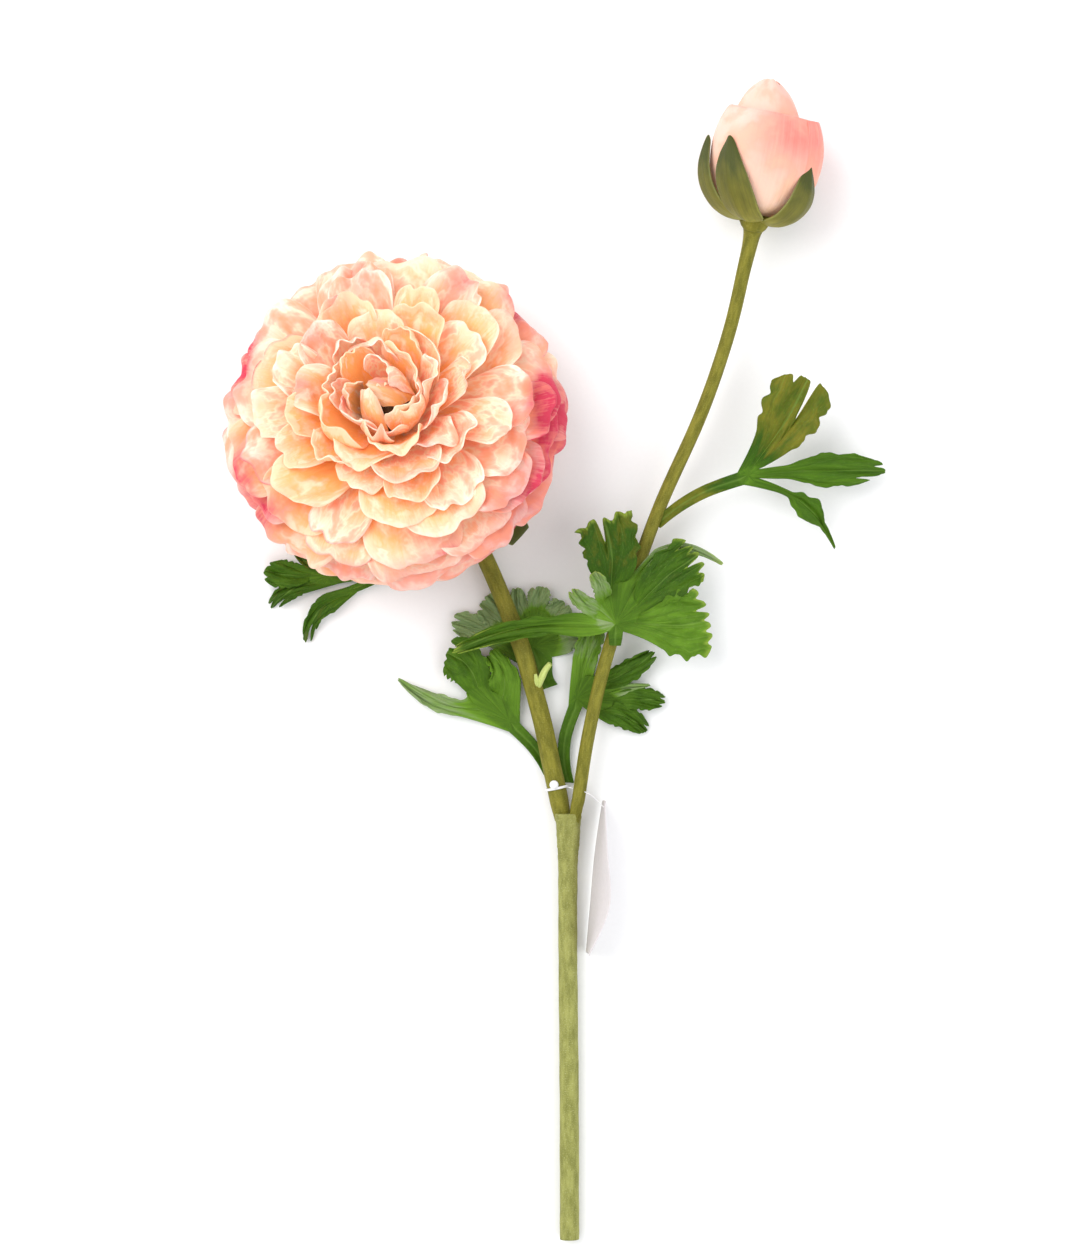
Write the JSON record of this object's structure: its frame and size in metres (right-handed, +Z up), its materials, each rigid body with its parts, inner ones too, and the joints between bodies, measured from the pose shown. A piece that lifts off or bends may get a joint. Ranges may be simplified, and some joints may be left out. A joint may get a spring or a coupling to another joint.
{
  "type": "ranunculus flower",
  "caption": "Cut ranunculus spray lying flat: an open double bloom with ruffled peach petals, a half-open bud on a side branch, lobed leaves, and a straight stem with a blank hang tag.",
  "frame": {"origin": "on the surface the spray lies on, under the middle of its bounding box", "axes": "+Y along the main stem from its cut end towards the flowers, +Z up from the surface, +X towards the bud's side"},
  "size_m": [0.1957, 0.3481, 0.0571],
  "materials": {
    "stem_green": "satin, finely speckled",
    "leaf_green": "matt, veined",
    "sepal_green": "matt",
    "petal_apricot": "matt, thin, lets light through",
    "petal_peach": "matt, thin, lets light through",
    "petal_rose": "matt, thin, lets light through",
    "petal_bud": "matt, thin, lets light through",
    "tag_card": "uncoated",
    "tag_loop": "translucent"
  },
  "bodies": {
    "root": {"bloom_sepal_1": "sepal_green", "bloom_sepal_2": "sepal_green", "bloom_sepal_3": "sepal_green", "bloom_sepal_4": "sepal_green", "bloom_sepal_5": "sepal_green", "bud_branch": "stem_green", "bud_inner_petal_1": "petal_bud", "bud_inner_petal_2": "petal_bud", "bud_outer_petal_1": "petal_bud", "bud_outer_petal_2": "petal_bud", "bud_outer_petal_3": "petal_bud", "bud_sepal_1": "sepal_green", "bud_sepal_2": "sepal_green", "bud_sepal_3": "sepal_green", "bud_sepal_4": "sepal_green", "bud_sepal_5": "sepal_green", "flower_branch": "stem_green", "leaf_behind_branch": "leaf_green", "leaf_below_bud": "leaf_green", "leaf_low_left": "leaf_green", "leaf_low_right": "leaf_green", "leaf_over_branches": "leaf_green", "leaf_under_bloom": "leaf_green", "main_stem": "stem_green", "petal_heart_1": "petal_apricot", "petal_heart_2": "petal_apricot", "petal_heart_3": "petal_apricot", "petal_inner_1": "petal_apricot", "petal_inner_2": "petal_apricot", "petal_inner_3": "petal_apricot", "petal_inner_4": "petal_apricot", "petal_lower_1": "petal_peach", "petal_lower_2": "petal_peach", "petal_lower_3": "petal_peach", "petal_lower_4": "petal_peach", "petal_lower_5": "petal_peach", "petal_lower_6": "petal_peach", "petal_lower_7": "petal_peach", "petal_middle_1": "petal_peach", "petal_middle_2": "petal_peach", "petal_middle_3": "petal_peach", "petal_middle_4": "petal_peach", "petal_middle_5": "petal_peach", "petal_middle_6": "petal_peach", "petal_skirt_1": "petal_rose", "petal_skirt_2": "petal_rose", "petal_skirt_3": "petal_rose", "petal_skirt_4": "petal_rose", "petal_skirt_5": "petal_rose", "petal_skirt_6": "petal_rose", "petal_skirt_7": "petal_rose", "petal_skirt_8": "petal_rose", "petal_upper_1": "petal_apricot", "petal_upper_2": "petal_apricot", "petal_upper_3": "petal_apricot", "petal_upper_4": "petal_apricot", "petal_upper_5": "petal_apricot", "tag_card": "tag_card", "tag_loop": "tag_loop"}
  },
  "joints": []
}
